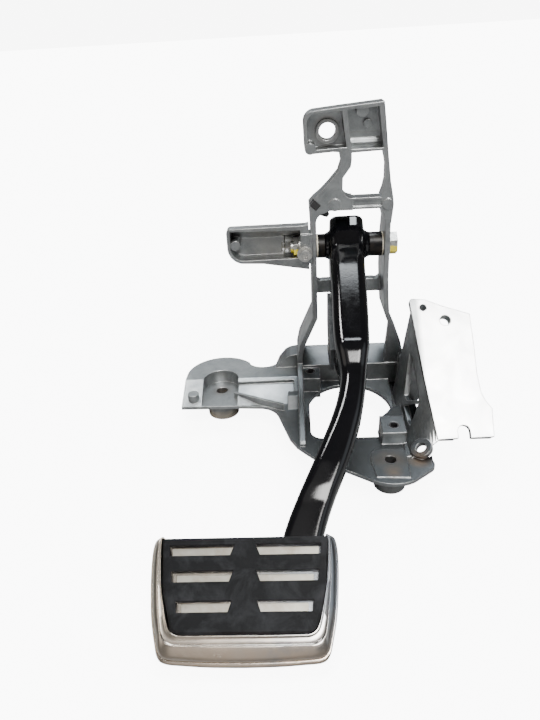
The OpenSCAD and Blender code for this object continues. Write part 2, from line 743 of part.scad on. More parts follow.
module pushrod_plate() {
    color("gray") on_arm() difference() {
        translate([plate_x - 3, 0, 0]) rotate([90, 0, 90]) linear_extrude(3)
            polygon(concat([[50, -2], [104, -4]], arc([100, -24], 9, 20, -50, 5), arc([84, -33], 9, -50, -120, 5),
                arc([68, -21], 9, 230, 180, 4)));
        for (p = plate_holes) translate([plate_x - 5, p[0], p[1]]) rotate([0, 90, 0]) cylinder(h = 10, d = 7);
    }
}

module pushrod_pin() {
    color("silver") on_arm() translate([plate_x, plate_holes[1][0], plate_holes[1][1]]) rotate([0, 90, 0]) {
        translate([0, 0, -3.6]) cylinder(h = 4, d = 7);
        cylinder(h = 19, d = 9);
        translate([0, 0, 19]) cylinder(h = 1.2, d1 = 9, d2 = 7);
    }
}

// Places children on the pad's face: X right of its middle, Y up the face, Z out of it
pad_o = [-105.8, -163.7, 10.5];
module on_pad() {
    translate(pad_o) rotate([pad_tilt, 0, 0]) children();
}

// Outline of the pad, drawn in by d all round
function pad_half(d) = concat(
    [[0, d]], arc([pad_w / 2 - 17, 9.5], 9.5 - d, 278, 340, 6),
    [[pad_w / 2 - 2.2 - d, 30], [pad_w / 2 - 0.7 - d, 42], [pad_w / 2 - d, 58]],
    arc([pad_w / 2 - 5.5, pad_h - 3.5], 3.5 - min(d, 3), 0, 90, 4));
function mirrored(p) = concat(p, [for (i = [len(p) - 1:-1:0]) if (p[i][0] != 0) [-p[i][0], p[i][1]]]);
function rubber_half(d) = [[0, 18 + d], [39.5 - d, 18 + d], [42.5 - d, 20.5 + d], [48.8 - d, 43], [50.8 - d, 71.5 - d], [0, 71.5 - d]];

window_rows = [64.6, 49.2, 32.1];
window_outer = [47, 45, 41];
module windows(d) {
    for (i = [0:2], m = [0, 1]) mirror([m, 0, 0])
        polygon([[6.6 + i * 0.5 - d, window_rows[i] + window_h / 2 + d], [window_outer[i] + d, window_rows[i] + window_h / 2 + d],
            [window_outer[i] - 0.8 + d, window_rows[i] - window_h / 2 - d], [9.2 + i * 0.3 - d, window_rows[i] - window_h / 2 - d]]);
}

// Pressed cover: dished frame round a sunk floor that carries the bars
floor_z = -5.4;
module pad_cover() {
    color("lightgray") on_pad() {
        difference() {
            union() {
                translate([0, 0, -9]) linear_extrude(7.5) polygon(mirrored(pad_half(0)));
                translate([0, 0, -2]) linear_extrude(2) polygon(mirrored(pad_half(2)));
            }
            // hollow behind
            translate([0, 0, -10]) linear_extrude(10 + floor_z - sheet_t) polygon(mirrored(pad_half(sheet_t)));
            // sunk floor in front
            translate([0, 0, floor_z]) linear_extrude(10) polygon(mirrored(rubber_half(-1.4)));
            translate([0, 0, -2.2]) linear_extrude(10) polygon(mirrored(rubber_half(-3)));
            translate([0, 66, -3.2]) linear_extrude(10) square([104, 20], center = true);
        }
        translate([0, 0, floor_z - 0.5]) linear_extrude(4) windows(-0.7);
    }
}

module pad_rubber() {
    color([0.1, 0.1, 0.1]) on_pad() difference() {
        union() {
            translate([0, 0, floor_z]) linear_extrude(4.6) polygon(mirrored(rubber_half(-0.9)));
            translate([0, 0, floor_z + 4.5]) linear_extrude(1.3) polygon(mirrored(rubber_half(0)));
        }
        translate([0, 0, -10]) linear_extrude(20) windows(0);
    }
}

boot_top = floor_z - sheet_t;
// Span of the arm across the pad, left open in the boot
pad_arm = [8, 52];

module pad_boot() {
    color([0.15, 0.15, 0.15]) on_pad() difference() {
        translate([0, 0, boot_top - 8]) linear_extrude(8) polygon(mirrored(pad_half(sheet_t + 1)));
        translate([0, 38, boot_top - 5]) linear_extrude(3) square([98, 56], center = true);
        translate([0, 38, boot_top - 9]) linear_extrude(6) square([84, 42], center = true);
        translate([pad_arm[0], 20, boot_top - 9]) linear_extrude(6) square([pad_arm[1] - pad_arm[0], 80]);
    }
}

module pad_plate() {
    color("black") on_pad() translate([0, 38, boot_top - 5]) linear_extrude(3) square([97.8, 55.8], center = true);
}

bracket();
lug_sleeve();
stud_clip_left();
stud_clip_right();
stop_buffer();
pivot_bolt();
pivot_nut();
pivot_washer();
pivot_sleeve();
bush_left();
bush_right();
clamp_screw();
clamp_washer();
pedal_arm();
arm_back();
pivot_tube();
pushrod_plate();
pushrod_pin();
pad_plate();
pad_boot();
pad_cover();
pad_rubber();
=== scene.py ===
import math

import bmesh
import bpy
from mathutils import Matrix, Vector


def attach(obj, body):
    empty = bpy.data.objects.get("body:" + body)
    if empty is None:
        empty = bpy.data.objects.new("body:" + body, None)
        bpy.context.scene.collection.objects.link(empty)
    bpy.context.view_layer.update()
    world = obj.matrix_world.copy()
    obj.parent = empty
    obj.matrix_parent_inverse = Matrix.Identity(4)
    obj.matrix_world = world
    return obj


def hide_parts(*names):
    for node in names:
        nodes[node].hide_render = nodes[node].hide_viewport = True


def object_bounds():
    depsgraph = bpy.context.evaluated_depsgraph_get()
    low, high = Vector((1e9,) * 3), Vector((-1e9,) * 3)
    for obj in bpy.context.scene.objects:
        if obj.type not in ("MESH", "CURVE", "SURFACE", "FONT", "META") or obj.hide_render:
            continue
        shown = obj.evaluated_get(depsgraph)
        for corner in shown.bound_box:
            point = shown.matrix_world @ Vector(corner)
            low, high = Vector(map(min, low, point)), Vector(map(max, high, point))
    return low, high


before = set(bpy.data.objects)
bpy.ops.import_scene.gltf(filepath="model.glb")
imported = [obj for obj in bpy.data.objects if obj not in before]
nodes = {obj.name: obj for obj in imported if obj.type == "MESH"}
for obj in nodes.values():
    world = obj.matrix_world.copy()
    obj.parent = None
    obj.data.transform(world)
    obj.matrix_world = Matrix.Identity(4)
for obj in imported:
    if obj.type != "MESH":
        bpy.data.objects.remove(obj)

cad_low, cad_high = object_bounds()

# Studio: the part lies on a pale floor in a white room with soft panels, seen by a
# camera that stands where the photographer stood.

floor_half = 30.0
floor_drop = 0.0004
floor_colour = (0.93, 0.93, 0.93)
floor_dim = (0.27, 0.27, 0.27)

floor_mesh = bpy.data.meshes.new("floor")
floor_z = cad_low.z - floor_drop
floor_mesh.from_pydata(
    [
        (-floor_half, -floor_half, floor_z),
        (floor_half, -floor_half, floor_z),
        (floor_half, floor_half, floor_z),
        (-floor_half, floor_half, floor_z),
    ],
    [],
    [(0, 1, 2, 3)],
)
floor = bpy.data.objects.new("floor", floor_mesh)
bpy.context.scene.collection.objects.link(floor)


def new_material(name, metal=0.0):
    """A material with its node tree and its Principled shader."""
    mat = bpy.data.materials.new(name)
    mat.use_nodes = True
    shader = mat.node_tree.nodes["Principled BSDF"]
    shader.inputs["Metallic"].default_value = metal
    return mat, mat.node_tree, shader


def put(tree, kind, **values):
    """A shader node, with its sockets and settings given by name."""
    made = tree.nodes.new(kind)
    for key, value in values.items():
        if hasattr(made, key):
            setattr(made, key, value)
        else:
            made.inputs[key.replace("_", " ")].default_value = value
    return made


def join(tree, out, into):
    """A link from one socket to another."""
    tree.links.new(out, into)


def calc(tree, how, a, b):
    """A Math node of two inputs, each a socket or a number."""
    made = tree.nodes.new("ShaderNodeMath")
    made.operation = how
    for slot, value in zip(made.inputs, (a, b)):
        if isinstance(value, (int, float)):
            slot.default_value = value
        else:
            join(tree, value, slot)
    return made.outputs[0]


def ramp(tree, value, low, high, to_low=0.0, to_high=1.0, smooth=False):
    """A value taken from one range to another, and held at its ends."""
    made = tree.nodes.new("ShaderNodeMapRange")
    if smooth:
        made.interpolation_type = "SMOOTHSTEP"
    for slot, number in zip(list(made.inputs)[1:5], (low, high, to_low, to_high)):
        slot.default_value = number
    join(tree, value, made.inputs[0])
    return made.outputs[0]


def blend_colour(tree, mask, a, b):
    """Colour a where the mask is 0 and colour b where it is 1."""
    made = tree.nodes.new("ShaderNodeMix")
    made.data_type = "RGBA"
    for slot, value in ((made.inputs[0], mask), (made.inputs[6], a), (made.inputs[7], b)):
        if isinstance(value, (int, float)):
            slot.default_value = value
        elif isinstance(value, tuple):
            slot.default_value = (*value, 1)
        else:
            join(tree, value, slot)
    return made.outputs[2]


# The floor is seen white; what the metal mirrors of it is only its own soft light.
white_glow = 8.0
floor_mat, floor_tree, floor_shader = new_material("floor white")
floor_shader.inputs["Roughness"].default_value = 0.9
floor_shader.inputs["Specular IOR Level"].default_value = 0.0
floor_shader.inputs["Emission Color"].default_value = (1, 1, 1, 1)
floor_seen = put(floor_tree, "ShaderNodeLightPath").outputs["Is Camera Ray"]
join(
    floor_tree,
    calc(floor_tree, "MULTIPLY", floor_seen, white_glow),
    floor_shader.inputs["Emission Strength"],
)
join(
    floor_tree,
    blend_colour(floor_tree, floor_seen, floor_dim, floor_colour),
    floor_shader.inputs["Base Color"],
)
floor_mesh.materials.append(floor_mat)

# The room: seen white, and mirrored dim all round, lighter to the front, with soft panels.
# Each panel: the way to it, where it is full and where it ends in degrees, strength, tint.
room_level = 0.11
room_front = 0.20
room_panels = [
    ((0.08, 0.385, 0.92), 8.0, 14.0, 21.0, (0.90, 0.96, 1.0)),
    ((0.21, -0.57, 0.80), 9.0, 16.0, 26.0, (1.0, 0.99, 0.97)),
    ((-0.31, 0.12, 0.94), 2.0, 5.0, 60.0, (1.0, 1.0, 1.0)),
    ((-0.27, 0.88, 0.39), 6.0, 17.0, 1.5, (0.90, 0.96, 1.0)),
    ((-0.10, -0.89, 0.45), 9.0, 21.0, 0.55, (1.0, 0.90, 0.80)),
    ((-0.10, -0.43, 0.89), 7.0, 15.0, 0.45, (1.0, 0.99, 0.96)),
    ((0.80, -0.25, 0.50), 10.0, 25.0, 0.9, (0.85, 0.94, 1.0)),
    ((-0.75, -0.30, 0.55), 10.0, 25.0, 1.0, (1.0, 0.95, 0.88)),
]
world = bpy.data.worlds.new("studio")
world.use_nodes = True
room = world.node_tree
room_way = put(room, "ShaderNodeTexCoord").outputs["Generated"]
room_split = room.nodes.new("ShaderNodeSeparateXYZ")
join(room, room_way, room_split.inputs[0])
room_front_mask = ramp(room, room_split.outputs["Y"], 0.1, -1.0, room_level, room_level + room_front)


def tinted(tree, amount, tint, under=None):
    """A grey amount given a tint, added to the colour under it."""
    scaled = put(tree, "ShaderNodeVectorMath", operation="SCALE")
    scaled.inputs[0].default_value = tint
    join(tree, amount, scaled.inputs["Scale"])
    if under is None:
        return scaled.outputs[0]
    added = put(tree, "ShaderNodeVectorMath", operation="ADD")
    join(tree, under, added.inputs[0])
    join(tree, scaled.outputs[0], added.inputs[1])
    return added.outputs[0]


room_light = tinted(room, room_front_mask, (1.0, 0.97, 0.93))
for way, full, end, strength, tint in room_panels:
    facing = put(room, "ShaderNodeVectorMath", operation="DOT_PRODUCT")
    join(room, room_way, facing.inputs[0])
    facing.inputs[1].default_value = Vector(way).normalized()
    glow = ramp(
        room,
        facing.outputs["Value"],
        math.cos(math.radians(end)),
        math.cos(math.radians(full)),
        0.0,
        strength,
        True,
    )
    room_light = tinted(room, glow, tint, room_light)
room_seen = put(room, "ShaderNodeLightPath").outputs["Is Camera Ray"]
room_mix = put(room, "ShaderNodeMix", data_type="VECTOR")
join(room, room_seen, room_mix.inputs[0])
join(room, room_light, room_mix.inputs[4])
room_mix.inputs[5].default_value = (white_glow, white_glow, white_glow)
join(room, room_mix.outputs[1], room.nodes["Background"].inputs["Color"])
bpy.context.scene.world = world

# The camera's place, its three directions and its lens, as fitted to the photograph.
eye = Vector((-0.0684, -0.3739, 0.3243))
eye_right = Vector((0.9982, 0.0262, -0.0534))
eye_up = Vector((0.0339, 0.4866, 0.8730))
eye_back = Vector((0.0488, -0.8733, 0.4848))
eye_lens = 30.0
eye_film = 36.0

camera_data = bpy.data.cameras.new("camera")
camera_data.sensor_fit = "VERTICAL"
camera_data.sensor_height = eye_film
camera_data.sensor_width = eye_film
camera_data.lens = eye_lens
camera_data.clip_start = 0.01
camera = bpy.data.objects.new("camera", camera_data)
bpy.context.scene.collection.objects.link(camera)
turn = Matrix((eye_right, eye_up, eye_back)).transposed().to_4x4()
camera.matrix_world = Matrix.Translation(eye) @ turn
bpy.context.scene.camera = camera

# Bracket: one aluminium die casting with raw skin. Its edges are rounded by the
# tool, its walls show grey flow clouds, and oil has stained it near the holes.


def new_group(name, inputs, outputs):
    """A shader node group with its named inputs and outputs."""
    tree = bpy.data.node_groups.new(name, "ShaderNodeTree")
    for label, kind, value in inputs:
        sock = tree.interface.new_socket(label, in_out="INPUT", socket_type=kind)
        if value is not None:
            sock.default_value = value
    for label, kind in outputs:
        tree.interface.new_socket(label, in_out="OUTPUT", socket_type=kind)
    return tree, tree.nodes.new("NodeGroupInput"), tree.nodes.new("NodeGroupOutput")


def noise(tree, vector, scale, detail, rough):
    """A noise pattern read at a vector."""
    made = put(tree, "ShaderNodeTexNoise", Scale=scale, Detail=detail, Roughness=rough)
    join(tree, vector, made.inputs["Vector"])
    return made.outputs["Fac"]


# Rounded edges, and a mask along them for wear and for painted highlights.
edge_tree, edge_in, edge_out = new_group(
    "worn and lit edges",
    [("Radius", "NodeSocketFloat", 0.001), ("Vector", "NodeSocketVector", None)],
    [("Normal", "NodeSocketVector"), ("Edge", "NodeSocketFloat")],
)
edge_bevel = put(edge_tree, "ShaderNodeBevel", samples=6)
join(edge_tree, edge_in.outputs["Radius"], edge_bevel.inputs["Radius"])
edge_geometry = put(edge_tree, "ShaderNodeNewGeometry")
edge_dot = put(edge_tree, "ShaderNodeVectorMath", operation="DOT_PRODUCT")
join(edge_tree, edge_bevel.outputs["Normal"], edge_dot.inputs[0])
join(edge_tree, edge_geometry.outputs["Normal"], edge_dot.inputs[1])
edge_mask = ramp(edge_tree, edge_dot.outputs["Value"], 0.99, 0.86)
edge_break = noise(edge_tree, edge_in.outputs["Vector"], 260, 3, 0.55)
edge_mask = calc(edge_tree, "MULTIPLY", edge_mask, ramp(edge_tree, edge_break, 0.35, 0.65, 0.25, 1))
join(edge_tree, edge_bevel.outputs["Normal"], edge_out.inputs["Normal"])
join(edge_tree, edge_mask, edge_out.inputs["Edge"])

# Grain: clouds, speckle and a height for the bump.
grain_tree, grain_in, grain_out = new_group(
    "grain",
    [
        ("Vector", "NodeSocketVector", None),
        ("Cloud Scale", "NodeSocketFloat", 40.0),
        ("Speckle Scale", "NodeSocketFloat", 700.0),
    ],
    [("Cloud", "NodeSocketFloat"), ("Speckle", "NodeSocketFloat"), ("Height", "NodeSocketFloat")],
)
grain_cloud = put(grain_tree, "ShaderNodeTexNoise", Detail=5.0, Roughness=0.6, Distortion=0.4)
join(grain_tree, grain_in.outputs["Vector"], grain_cloud.inputs["Vector"])
join(grain_tree, grain_in.outputs["Cloud Scale"], grain_cloud.inputs["Scale"])
grain_fine = put(grain_tree, "ShaderNodeTexNoise", Detail=3.0, Roughness=0.6)
join(grain_tree, grain_in.outputs["Vector"], grain_fine.inputs["Vector"])
join(grain_tree, grain_in.outputs["Speckle Scale"], grain_fine.inputs["Scale"])
grain_height = calc(
    grain_tree,
    "ADD",
    calc(grain_tree, "MULTIPLY", grain_cloud.outputs["Fac"], 0.6),
    calc(grain_tree, "MULTIPLY", grain_fine.outputs["Fac"], 0.4),
)
join(grain_tree, grain_cloud.outputs["Fac"], grain_out.inputs["Cloud"])
join(grain_tree, grain_fine.outputs["Fac"], grain_out.inputs["Speckle"])
join(grain_tree, grain_height, grain_out.inputs["Height"])


def place_group(tree, group, vector, **values):
    """A node group placed in a material, with its own values."""
    made = tree.nodes.new("ShaderNodeGroup")
    made.node_tree = group
    join(tree, vector, made.inputs["Vector"])
    for key, value in values.items():
        made.inputs[key.replace("_", " ")].default_value = value
    return made


def spot(tree, vector, centre, near, far):
    """1 within a distance of a point, falling to 0 further off."""
    made = put(tree, "ShaderNodeVectorMath", operation="DISTANCE")
    join(tree, vector, made.inputs[0])
    made.inputs[1].default_value = centre
    return ramp(tree, made.outputs["Value"], near, far, 1, 0)


def bump(tree, shader, height, depth, strength, normal=None):
    """A Bump node between a height and the shader."""
    made = put(tree, "ShaderNodeBump", Strength=strength, Distance=depth)
    join(tree, height, made.inputs["Height"])
    if normal is not None:
        join(tree, normal, made.inputs["Normal"])
    join(tree, made.outputs["Normal"], shader.inputs["Normal"])


def dress(node, mat):
    """Gives a CAD node its material."""
    mesh = nodes[node].data
    mesh.materials.clear()
    mesh.materials.append(mat)


cast_pale = (0.37, 0.386, 0.39)
cast_dark = (0.22, 0.233, 0.24)
cast_brown = (0.20, 0.145, 0.10)
edge_wear_and_highlight_tone = (0.78, 0.79, 0.78)
cast_speck = (0.42, 0.43, 0.43)
cast_low_tone = (0.062, 0.067, 0.071)
cast_foot_tone = (0.80, 0.71, 0.58)
cast_seat_glare_tone = (0.97, 0.97, 0.97)
cast_bright_edge_share = 0.55
# Where things begin and where they are full, in metres of the part's own frame.
low_dark_height = (0.075, 0.045)
low_dark_side = (-0.105, -0.070)
low_dark_most = 0.93
foot_middle = (-0.143, 0.1115, 0.0)
foot_reach = (0.015, 0.0185)
seat_side = (0.030, 0.034)
seat_normal = (0.0, -0.7071, 0.7071)
# Oil stains: middle, full out to, gone from, strength.
cast_stains = [
    ((0.0, 0.0, 0.024), 0.004, 0.016, 0.35),
    ((0.0225, -0.001, 0.026), 0.003, 0.011, 0.9),
    ((0.0, -0.014, 0.024), 0.002, 0.009, 0.6),
    ((-0.0405, 0.128, 0.2506), 0.004, 0.014, 0.5),
    ((-0.032, 0.127, 0.222), 0.002, 0.010, 0.6),
    ((-0.143, 0.1115, 0.024), 0.006, 0.012, 0.3),
    ((-0.088, 0.13, 0.17), 0.010, 0.040, 0.25),
]

cast_mat, cast, cast_shader = new_material("raw die casting", 0.9)
cast_place = put(cast, "ShaderNodeTexCoord").outputs["Object"]
cast_grain = place_group(cast, grain_tree, cast_place, Cloud_Scale=55.0, Speckle_Scale=900.0)
cast_edges = place_group(cast, edge_tree, cast_place, Radius=0.0011)
cast_colour = blend_colour(
    cast, ramp(cast, cast_grain.outputs["Cloud"], 0.35, 0.65), cast_dark, cast_pale
)
cast_colour = blend_colour(
    cast,
    ramp(cast, cast_grain.outputs["Speckle"], 0.3, 0.7, 0.0, 0.3),
    cast_colour,
    cast_speck,
)
# The low base round the booster's opening is darker towards the bottom, its upward faces most.
cast_split = put(cast, "ShaderNodeSeparateXYZ")
join(cast, cast_place, cast_split.inputs[0])
cast_low_dark = calc(
    cast,
    "MULTIPLY",
    ramp(cast, cast_split.outputs["Z"], *low_dark_height),
    ramp(cast, cast_split.outputs["X"], *low_dark_side, 0, low_dark_most),
)
cast_facing = put(cast, "ShaderNodeTexCoord").outputs["Normal"]
cast_turn = put(cast, "ShaderNodeSeparateXYZ")
join(cast, cast_facing, cast_turn.inputs[0])
cast_low_dark = calc(cast, "MULTIPLY", cast_low_dark, ramp(cast, cast_turn.outputs["Z"], 0.5, 0.9, 0.35, 1))
cast_colour = blend_colour(cast, cast_low_dark, cast_colour, cast_low_tone)
for centre, near, far, strength in cast_stains:
    mask = calc(
        cast,
        "MULTIPLY",
        calc(cast, "MULTIPLY", spot(cast, cast_place, centre, near, far), strength),
        ramp(cast, cast_grain.outputs["Cloud"], 0.3, 0.6, 0.3, 1),
    )
    cast_colour = blend_colour(cast, mask, cast_colour, cast_brown)
# The foot of the left lug is tan with dried water.
cast_foot = calc(
    cast,
    "MULTIPLY",
    spot(cast, cast_place, foot_middle, *foot_reach),
    ramp(cast, cast_grain.outputs["Cloud"], 0.35, 0.6, 0.45, 1),
)
cast_colour = blend_colour(cast, cast_foot, cast_colour, cast_foot_tone)
# The accelerator's seat is a pale machined face on the slant, painted near white: its own pale tone
# and a painted highlight of glare.
cast_slant = put(cast, "ShaderNodeVectorMath", operation="DOT_PRODUCT")
join(cast, cast_facing, cast_slant.inputs[0])
cast_slant.inputs[1].default_value = seat_normal
cast_seat_glare = calc(
    cast,
    "MULTIPLY",
    ramp(cast, cast_slant.outputs["Value"], 0.95, 0.99),
    ramp(cast, cast_split.outputs["X"], *seat_side),
)
# Painted highlight and wear: the casting's edges are painted light, broken up by noise.
cast_bright_edges = calc(cast, "MULTIPLY", cast_edges.outputs["Edge"], cast_bright_edge_share)
cast_colour = blend_colour(cast, cast_bright_edges, cast_colour, edge_wear_and_highlight_tone)
cast_colour = blend_colour(cast, cast_seat_glare, cast_colour, cast_seat_glare_tone)
join(cast, cast_colour, cast_shader.inputs["Base Color"])
cast_rough = ramp(cast, cast_grain.outputs["Cloud"], 0.3, 0.7, 0.40, 0.31)
join(cast, cast_rough, cast_shader.inputs["Roughness"])
bump(cast, cast_shader, cast_grain.outputs["Height"], 0.0004, 0.35, cast_edges.outputs["Normal"])
dress("bracket", cast_mat)

# Spacer sleeve of the left lug: turned steel, pressed into the casting from below,
# its bare face tan with a film of rust.


def cloudy_finish(
    name,
    scales,
    tones,
    span,
    gloss_by,
    gloss,
    relief,
    metal=0.0,
    specular=0.5,
    radius=0.0,
    worn=None,
):
    """A material of two tones in clouds, with its gloss, relief, round edges and their wear."""
    mat, tree, shader = new_material(name, metal)
    shader.inputs["Specular IOR Level"].default_value = specular
    place = put(tree, "ShaderNodeTexCoord").outputs["Object"]
    grain = place_group(tree, grain_tree, place, Cloud_Scale=scales[0], Speckle_Scale=scales[1])
    colour = blend_colour(tree, ramp(tree, grain.outputs["Cloud"], *span), *tones)
    normal = None
    if radius:
        wear = place_group(tree, edge_tree, place, Radius=radius)
        normal = wear.outputs["Normal"]
        if worn:
            share, worn_tone = worn
            edge = calc(tree, "MULTIPLY", wear.outputs["Edge"], share)
            colour = blend_colour(tree, edge, colour, worn_tone)
    join(tree, colour, shader.inputs["Base Color"])
    join(tree, ramp(tree, grain.outputs[gloss_by], 0.3, 0.7, *gloss), shader.inputs["Roughness"])
    bump(tree, shader, grain.outputs["Height"], *relief, normal)
    return mat


rust_mat = cloudy_finish(
    "rust-filmed steel",
    metal=0.85,
    scales=(160.0, 1400.0),
    tones=((0.86, 0.80, 0.70), (0.55, 0.40, 0.27)),
    span=(0.38, 0.62),
    gloss_by="Cloud",
    gloss=(0.32, 0.62),
    relief=(0.0003, 0.3),
    radius=0.0006,
)
dress("lug_sleeve", rust_mat)

# Stud clips and stop buffer: black plastic clips pushed into the stud seats, and
# a square rubber buffer pushed through the left rail.

clip_mat = cloudy_finish(
    "clip plastic",
    scales=(300.0, 2000.0),
    tones=((0.008, 0.008, 0.009), (0.024, 0.024, 0.025)),
    span=(0.0, 1.0),
    gloss_by="Speckle",
    gloss=(0.28, 0.45),
    relief=(0.0001, 0.3),
    radius=0.0003,
)
dress("stud_clip_left", clip_mat)
dress("stud_clip_right", clip_mat)

buffer_mat = cloudy_finish(
    "buffer rubber",
    scales=(200.0, 1500.0),
    tones=((0.010, 0.010, 0.011), (0.032, 0.032, 0.033)),
    span=(0.0, 1.0),
    gloss_by="Cloud",
    gloss=(0.5, 0.72),
    relief=(0.0002, 0.4),
    radius=0.0005,
)
dress("stop_buffer", buffer_mat)

# Pivot bolt, nut, washers, distance sleeve, clamp screw and rod pin: zinc-plated steel.
# The bolt holds the pedal between the bracket's cheeks. The lower half of its nut and
# of its head carries a yellow paint mark.

zinc_pale = (0.66, 0.65, 0.62)
zinc_dark = (0.42, 0.42, 0.41)
zinc_metal = 0.95
mark_yellow = (0.80, 0.66, 0.06)
mark_dulls = 0.12
mark_fade = 0.0006
pivot_height = 0.157


def zinc(name, mark=False):
    """Plated steel, with the paint mark if it carries one."""
    mat, tree, shader = new_material(name, zinc_metal)
    place = put(tree, "ShaderNodeTexCoord").outputs["Object"]
    grain = place_group(tree, grain_tree, place, Cloud_Scale=220.0, Speckle_Scale=1500.0)
    wear = place_group(tree, edge_tree, place, Radius=0.0005)
    colour = blend_colour(
        tree, ramp(tree, grain.outputs["Cloud"], 0.35, 0.65), zinc_dark, zinc_pale
    )
    rough = ramp(tree, grain.outputs["Speckle"], 0.3, 0.7, 0.26, 0.42)
    if mark:
        split = tree.nodes.new("ShaderNodeSeparateXYZ")
        join(tree, place, split.inputs[0])
        wander = ramp(tree, grain.outputs["Cloud"], 0.3, 0.7, -0.001, 0.001)
        ragged = calc(tree, "ADD", split.outputs["Z"], wander)
        paint = ramp(tree, ragged, pivot_height + mark_fade, pivot_height)
        colour = blend_colour(tree, paint, colour, mark_yellow)
        metal = ramp(tree, paint, 0, 1, zinc_metal, 0.0)
        join(tree, metal, shader.inputs["Metallic"])
        rough = calc(tree, "ADD", rough, calc(tree, "MULTIPLY", paint, mark_dulls))
    join(tree, colour, shader.inputs["Base Color"])
    join(tree, rough, shader.inputs["Roughness"])
    bump(tree, shader, grain.outputs["Height"], 0.0001, 0.3, wear.outputs["Normal"])
    return mat


zinc_mat = zinc("zinc plate")
marked_mat = zinc("zinc plate with yellow mark", True)
for name in ("pivot_washer", "pivot_sleeve", "clamp_screw", "clamp_washer", "pushrod_pin"):
    dress(name, zinc_mat)
dress("pivot_nut", marked_mat)
dress("pivot_bolt", marked_mat)

# Bushes: flanged sleeves of pale plastic, pressed into the ends of the pedal's tube,
# worn a little where they run.

bush_mat = cloudy_finish(
    "bush plastic",
    scales=(250.0, 1500.0),
    tones=((0.66, 0.60, 0.46), (0.80, 0.76, 0.66)),
    span=(0.0, 1.0),
    gloss_by="Speckle",
    gloss=(0.35, 0.5),
    relief=(0.0001, 0.3),
    radius=0.0003,
)
dress("bush_left", bush_mat)
dress("bush_right", bush_mat)

# Pedal arm: a pressed steel channel with a strip welded in behind, weld collars at its
# head and the plate under the pad, all in gloss black paint.

paint_mat, paint, paint_shader = new_material("gloss black paint")
paint_place = put(paint, "ShaderNodeTexCoord").outputs["Object"]
paint_grain = place_group(paint, grain_tree, paint_place, Cloud_Scale=120.0, Speckle_Scale=500.0)
paint_wear = place_group(paint, edge_tree, paint_place, Radius=0.0016)
paint_colour = blend_colour(
    paint, paint_grain.outputs["Cloud"], (0.001, 0.001, 0.0015), (0.003, 0.003, 0.004)
)
join(paint, paint_colour, paint_shader.inputs["Base Color"])
paint_rough = ramp(paint, paint_grain.outputs["Cloud"], 0.35, 0.7, 0.05, 0.10)
join(paint, paint_rough, paint_shader.inputs["Roughness"])
bump(
    paint, paint_shader, paint_grain.outputs["Speckle"], 0.00015, 0.12, paint_wear.outputs["Normal"]
)


def merged_copy(node, angle=35.0):
    """A node's mesh with its loose triangles merged and smoothed by angle."""
    mesh = nodes[node].data.copy()
    mesh.name = node + "_skin"
    work = bmesh.new()
    work.from_mesh(mesh)
    bmesh.ops.remove_doubles(work, verts=work.verts, dist=1e-6)
    for face in work.faces:
        face.smooth = True
    for edge in work.edges:
        if len(edge.link_faces) == 2:
            edge.smooth = edge.calc_face_angle() < math.radians(angle)
    work.to_mesh(mesh)
    work.free()
    if "custom_normal" in mesh.attributes:
        mesh.attributes.remove(mesh.attributes["custom_normal"])
    obj = bpy.data.objects.new(node + "_skin", mesh)
    bpy.context.scene.collection.objects.link(obj)
    return obj


# The pivot in the part's own frame, in millimetres, and how steeply the arm falls from it.
mm = 0.001
pivot = Vector((0, 127, 157))
fall = math.radians(29)

arm_start = -21
arm_end = 302
# Along the arm from the pivot, in millimetres: distance, middle, half width, back.
arm_table = [
    (arm_start, -24.2, 14.2, -5.0),
    (-13, -24.4, 14.4, -13.5),
    (0, -24.9, 14.5, -17.0),
    (14, -25.4, 14.5, -17.0),
    (34, -26.2, 14.2, -17.0),
    (62, -26.8, 14.1, -18.0),
    (90, -27.8, 13.8, -18.5),
    (108, -28.2, 13.0, -17.0),
    (120, -28.4, 11.0, -15.0),
    (134, -29.0, 9.6, -12.5),
    (151, -32.0, 9.8, -10.5),
    (166, -36.2, 10.6, -9.5),
    (184, -42.9, 11.5, -8.5),
    (201, -49.9, 12.1, -8.5),
    (223, -60.0, 12.4, -9.5),
    (240, -66.8, 12.8, -10.5),
    (256, -71.5, 13.0, -10.0),
    (arm_end, -82.0, 13.0, -10.0),
]
# Height of the pressed face, flat between its creases.
arm_face = [
    (arm_start, 13.4),
    (-17.5, 17.2),
    (-14.5, 18.0),
    (-3.5, 18.0),
    (11.5, 14.5),
    (13, 14.4),
    (106.5, 14.4),
    (108.5, 14.65),
    (109.5, 14.65),
    (115.5, 14.2),
    (127, 11.3),
    (134, 11.0),
    (166, 10.6),
    (201, 9.4),
    (217, 8.0),
    (227, 6.3),
    (arm_end, 2.1),
]
# The radius of the channel's corners and the thickness of its sheet.
arm_corner = 7.0
arm_sheet = 2.6


def on_arm(x, along, out):
    """A point of the arm's own frame, in metres."""
    y = -along * math.cos(fall) - out * math.sin(fall)
    z = -along * math.sin(fall) + out * math.cos(fall)
    return (pivot + Vector((x, y, z))) * mm


def smooth_read(table, at, column):
    """A table read at a point, on a smooth curve through its rows."""
    row = 0
    while row < len(table) - 2 and at >= table[row + 1][0]:
        row += 1

    def slope(i):
        low, high = table[max(i - 1, 0)], table[min(i + 1, len(table) - 1)]
        return (high[column] - low[column]) / (high[0] - low[0])

    step = table[row + 1][0] - table[row][0]
    u = (at - table[row][0]) / step
    return (
        (2 * u**3 - 3 * u**2 + 1) * table[row][column]
        + (u**3 - 2 * u**2 + u) * step * slope(row)
        + (3 * u**2 - 2 * u**3) * table[row + 1][column]
        + (u**3 - u**2) * step * slope(row + 1)
    )


